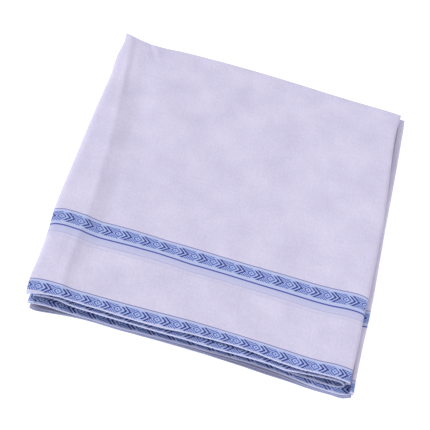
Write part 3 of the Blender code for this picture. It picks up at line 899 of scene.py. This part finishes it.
def make_second(cloth, hem):
    """The ply under the top panel: across the packet, round at the right and back below."""
    hem_y, turned = hem_line("second", seed=2.0), hem_line("turned", seed=3.0)
    _, top_right = side_edges("left", "right")
    fine, wider = spread(SECOND_FINE, 2 * HALF), spread(SECOND_WIDER, 2 * HALF)
    rows = [0.0, SECOND_FIRST, *fine[1:SECOND_FINE_END], *wider[SECOND_WIDER_START:], 1.0]
    ways = spread(SECOND_ACROSS, 2 * HALF)
    shell = Shell()
    lines = []
    for share in rows:
        line = []
        y_near = mix(-HALF, SECOND_BACK, share)
        loop_x = top_right(y_near) - LOOP_INSET - LOOP_RADIUS
        spots = []
        for way in [0.0] + ways:
            x = mix(TURNED_LEFT, loop_x, way)
            spots.append((x, mix(turned(x), SECOND_BACK, share), SECOND_UNDER))
        for angle in LOOP_ANGLES:
            turn = math.radians(angle)
            x = loop_x + LOOP_RADIUS * math.sin(turn)
            y = mix(mix(hem_y(x), turned(x), turn / math.pi), SECOND_BACK, share)
            half = (second_face(loop_x, y) - SECOND_UNDER) / 2
            spots.append((x, y, SECOND_UNDER + half + half * math.cos(turn)))
        end = second_left(mix(hem_y(SECOND_LEFT), SECOND_BACK, share))
        for way in ways + [1.0]:
            x = mix(loop_x, end, way)
            y = mix(hem_y(x), SECOND_BACK, share)
            spots.append((x, y, second_face(x, y)))
        total = 0.0
        runs = [0.0]
        for one, two in zip(spots, spots[1:]):
            total += math.dist(one, two)
            runs.append(total)
        for (x, y, z), run in zip(spots, runs):
            s = total - run + end
            t = (SECOND_BACK + HALF - SECOND_MAP_SHORT) * share
            line.append(shell.add((x, y, z), straight(s, t)))
        lines.append(line)
    shell.fill(lines)
    piece = shell.make("second_ply_cloth", cloth, CLOTH_WALL)
    bead = hem_bead("second_ply_hem", shell, lines[0], -1.0, hem)
    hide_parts("second_ply")


# The stack of hidden plies: its outline, its front at the top, and the plies that fill the slots
CORE_LEFT, CORE_RIGHT, CORE_BACK, CORE_FRONT, CORE_CORNER = -121.0, 127.4, 132.0, -130.2, -124.6
CORNER_END, FRONT_START = -118.0, -98.0
RETREAT, RETREAT_FROM, RETREAT_OVER = 6.4, LOWER_RIM + 2.6, 1.6
GROOVE_LEFT, GROOVE_BACK, GROOVE_INSET = -135.6, 139.2, 1.8
GROOVE_FROM, GROOVE_TO = LOWER_RIM + 0.35, LOWER_RIM + 2.55  # levels at which plies fill the slots
UPPER_FROM, UPPER_OUT = LOWER_RIM + 0.3, 2.6  # level above which the left edge stands out, and how far
FOLLOW_OVER = 2.0  # height over which the plies take up the crown of the packet
PLY_PITCH = 0.62
PLY_EDGE = ((0.08, 0.75), (0.3, 0.15), (0.5, 0.0), (0.7, 0.15), (0.92, 0.75))  # share of height, inset
WANDER, WANDER_SCALE, WANDER_SEED_STEP, WANDER_IN = 0.9, 42.0, 1.7, 0.6
CORE_STEP = 3.0
CORE_MAP_SIDES, CORE_MAP_SHARE = 20.0, 0.1  # where the sides and the back lie on the flat cloth
CORE_MAP_FRONT = 1.6  # and where the foot of the front does


def make_inner(cloth):
    """The hidden plies: one stack whose edges show the plies in it."""
    low, high = CORE_UNDER, PACKET - CORE_DROP
    count = round((high - low) / PLY_PITCH)
    left_edge, _ = side_edges("left", "right")
    rear_edge = back_edge("top")
    shell = Shell()
    hoops = []
    for ply in range(count):
        for part, inset in PLY_EDGE:
            z = mix(low, high, (ply + part) / count)
            grooved = GROOVE_FROM < z < GROOVE_TO
            left, back, right = CORE_LEFT, CORE_BACK, CORE_RIGHT
            if grooved:
                left, back = GROOVE_LEFT, GROOVE_BACK
            elif z >= UPPER_FROM:
                left = CORE_LEFT - UPPER_OUT
            retreat = RETREAT * ease((z - RETREAT_FROM) / RETREAT_OVER)
            front, corner = CORE_FRONT + retreat, CORE_CORNER + retreat
            hoop = []
            corners = ((left, corner), (left, back), (right, back), (right, front))
            steps = round(2 * HALF / CORE_STEP)
            for k, start in enumerate(corners):
                end = corners[(k + 1) % 4]
                outward = ((-1, 0), (0, 1), (1, 0), (0, -1))[k]
                for step in range(steps):
                    x, y = (mix(a, b, step / steps) for a, b in zip(start, end))
                    place = (x, CORE_MAP_SIDES + CORE_MAP_SHARE * y)
                    if grooved and k == 0:
                        behind = ease((y - CORNER_END) / (FRONT_START - CORNER_END))
                        x = mix(x, left_edge(y) + GROOVE_INSET, behind)
                    if grooved and k == 1:
                        y = rear_edge(x) - GROOVE_INSET
                    if k == 3:
                        y = mix(corner, front, ease((x - CORNER_END) / (FRONT_START - CORNER_END)))
                        place = (x, CORE_MAP_FRONT + z - low)
                    wander = WANDER * waver(x + y, x - y, WANDER_SCALE, ply * WANDER_SEED_STEP)
                    wander -= WANDER_IN + inset
                    follow = ease((z - RETREAT_FROM) / FOLLOW_OVER) * crown(x, y)
                    x, y = x + outward[0] * wander, y + outward[1] * wander
                    hoop.append(shell.add((x, y, z + follow), place))
            hoops.append(hoop + hoop[:1])
    shell.fill(hoops, turned=True)
    for hoop, flip in ((hoops[0], False), (hoops[-1], True)):
        ring = hoop[:-1]
        shell.patches.append(tuple(ring[::-1] if flip else ring))
    piece = shell.make("inner_plies", cloth)
    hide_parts("inner_folds")


def make_lower(cloth, hem):
    """The panel below, turned up at the left, the back and the right."""
    sheet = TurnedSheet(
        side_edges("low_left", "low_right"),
        back_edge("low"),
        hem_line("lower", seed=4.0),
        lower_face,
        lower_rim,
        LOWER_RADIUS,
        LOWER_FLANGE,
        LOWER_STEP,
        LOWER_HALF,
    )
    sheet.trim = TRIM
    shell, path = sheet.shell(mirrored)
    piece = shell.make("lower_panel_cloth", cloth, CLOTH_WALL)
    bead = hem_bead("lower_panel_hem", shell, path, -1.0, hem)
    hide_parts("lower_panel")


# The lowest cloth: the levels of its two plies, its outline, its steps, and its upper hem
BOTTOM_LOW, BOTTOM_HIGH = 0.58, 0.68
BOTTOM_LEFT, BOTTOM_RIGHT, BOTTOM_BACK_INSET = -HALF + 3.0, HALF + 0.5, 4.0
BOTTOM_FIRST, BOTTOM_ALONG, BOTTOM_ACROSS = 0.006, 8.0, 3.0
UPPER_HEM, UPPER_HEM_WAVE = 0.45, 0.2  # as shares of the way from its lower hem to the panel's
UPPER_HEM_SCALE, UPPER_HEM_SEED = 30.0, 11.0


def make_bottom(cloth, hem):
    """The lowest cloth, folded at the back: its lower ply lies flat on the surface."""
    hem_y, above_y = hem_line("base", seed=6.0), hem_line("lower", seed=8.0)
    back = back_edge("low")
    shell = Shell()
    lines = []
    steps = [0.0, BOTTOM_FIRST, *spread(BOTTOM_ALONG, 2 * HALF), 1.0]
    for share in [0.0, *spread(BOTTOM_ACROSS, 2 * HALF), 1.0]:
        x = mix(BOTTOM_LEFT, BOTTOM_RIGHT, share)
        front, rear = hem_y(x), back(x) - BOTTOM_BACK_INSET
        wave = UPPER_HEM_WAVE * waver(x, 0.0, UPPER_HEM_SCALE, UPPER_HEM_SEED)
        second = mix(front, above_y(x), UPPER_HEM + wave)
        line = [(x, mix(front, rear, way), BOTTOM_LOW) for way in steps]
        line += [(x, mix(second, rear, way), BOTTOM_HIGH) for way in reversed(steps)]
        line = [shell.add((x, y, z), straight(x, y - front + PLAIN_FROM)) for x, y, z in line]
        lines.append(line)
    shell.fill(lines)
    piece = shell.make("bottom_ply_cloth", cloth, CLOTH_WALL)
    beads = [
        hem_bead("bottom_ply_hem", shell, [line[0] for line in lines], 1.0, hem),
        hem_bead("bottom_ply_upper_hem", shell, [line[-1] for line in lines], -1.0, hem),
    ]
    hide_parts("bottom_ply")


# The studio: the floor, the sky, the lights, and the camera at the photograph's angle
FLOOR_HALF = 12.0
FLOOR_COLOUR, FLOOR_ROUGH = (0.6, 0.6, 0.6, 1.0), 0.95
FLOOR_GLOW, FLOOR_GLOW_POWER = (1.0, 1.0, 1.0, 1.0), 0.55
SKY_COLOUR, SKY_POWER = (0.96, 0.97, 1.0, 1.0), 0.42
Light = namedtuple("Light", "name place size power")
LIGHTS = (
    Light("key", (-2.2, 0.8, 1.5), 0.9, 64.0),
    Light("right", (0.8, 0.0, 0.7), 0.5, 4.4),
    Light("front", (-0.1, -1.7, 0.4), 1.0, 15.0),
)
CAMERA_ROLL, CAMERA_HEIGHT_ANGLE = 15.59, 61.5
CAMERA_LENS, CAMERA_SENSOR, CAMERA_CLIP = 79.41, 36.0, 0.01
CAMERA_PLACE = (-0.00896, -0.41995, 0.74852)


def make_stage():
    """A plain pale floor, soft studio light and the camera at the photograph's angle."""
    scene = bpy.context.scene
    mesh = bpy.data.meshes.new("floor")
    corners = [(x * FLOOR_HALF, y * FLOOR_HALF, 0) for x, y in ((-1, -1), (1, -1), (1, 1), (-1, 1))]
    mesh.from_pydata(corners, [], [(0, 1, 2, 3)])
    floor = bpy.data.objects.new("floor", mesh)
    paint = bpy.data.materials.new("floor_paper")
    paint.use_nodes = True
    shader = paint.node_tree.nodes["Principled BSDF"]
    shader.inputs["Base Color"].default_value = FLOOR_COLOUR
    shader.inputs["Emission Color"].default_value = FLOOR_GLOW
    shader.inputs["Emission Strength"].default_value = FLOOR_GLOW_POWER
    shader.inputs["Roughness"].default_value = FLOOR_ROUGH
    shader.inputs["Specular IOR Level"].default_value = 0.0
    mesh.materials.append(paint)
    scene.collection.objects.link(floor)

    world = bpy.data.worlds.new("studio")
    world.use_nodes = True
    sky = world.node_tree.nodes["Background"]
    sky.inputs["Color"].default_value = SKY_COLOUR
    sky.inputs["Strength"].default_value = SKY_POWER
    scene.world = world
    for name, place, size, power in LIGHTS:
        lamp = bpy.data.lights.new(name, "AREA")
        lamp.size = size
        lamp.energy = power
        light = bpy.data.objects.new(name, lamp)
        light.location = place
        light.rotation_mode = "QUATERNION"
        light.rotation_quaternion = (-Vector(place)).to_track_quat("-Z", "Y")
        scene.collection.objects.link(light)

    roll, high = math.radians(CAMERA_ROLL), math.radians(CAMERA_HEIGHT_ANGLE)
    level = Vector((1.0, 0.0, 0.0))
    rise = Vector((0.0, math.sin(high), math.cos(high)))
    ahead = Vector((0.0, math.cos(high), -math.sin(high)))
    right = math.cos(roll) * level + math.sin(roll) * rise
    up = -math.sin(roll) * level + math.cos(roll) * rise
    lens = bpy.data.cameras.new("camera")
    lens.sensor_width = CAMERA_SENSOR
    lens.lens = CAMERA_LENS
    lens.clip_start = CAMERA_CLIP
    camera = bpy.data.objects.new("camera", lens)
    pose = Matrix((right, up, -ahead)).transposed().to_4x4()
    pose.translation = Vector(CAMERA_PLACE)
    camera.matrix_world = pose
    scene.collection.objects.link(camera)
    scene.camera = camera
    scene.view_settings.view_transform = "Standard"


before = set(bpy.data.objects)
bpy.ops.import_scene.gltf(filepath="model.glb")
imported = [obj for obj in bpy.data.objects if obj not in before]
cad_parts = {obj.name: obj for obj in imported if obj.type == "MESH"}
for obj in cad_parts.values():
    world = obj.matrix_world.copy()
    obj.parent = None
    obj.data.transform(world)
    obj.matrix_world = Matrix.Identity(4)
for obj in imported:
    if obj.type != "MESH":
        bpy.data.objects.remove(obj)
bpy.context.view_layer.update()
hem_material = hem_cotton("hem_thread")
make_top(cotton("top_cotton", ghost=True), hem_material)
# The second ply, the hidden plies, the lowest cloth and its hem get painted shade through their last
# argument
make_second(cotton("second_cotton", painted_shade=0.1), hem_material)
make_inner(cotton("inner_cotton", painted_shade=0.08))
make_lower(cotton("lower_cotton"), hem_material)
make_bottom(cotton("bottom_cotton", painted_shade=0.66), hem_cotton("low_hem_thread", painted_shade=0.42))
make_stage()
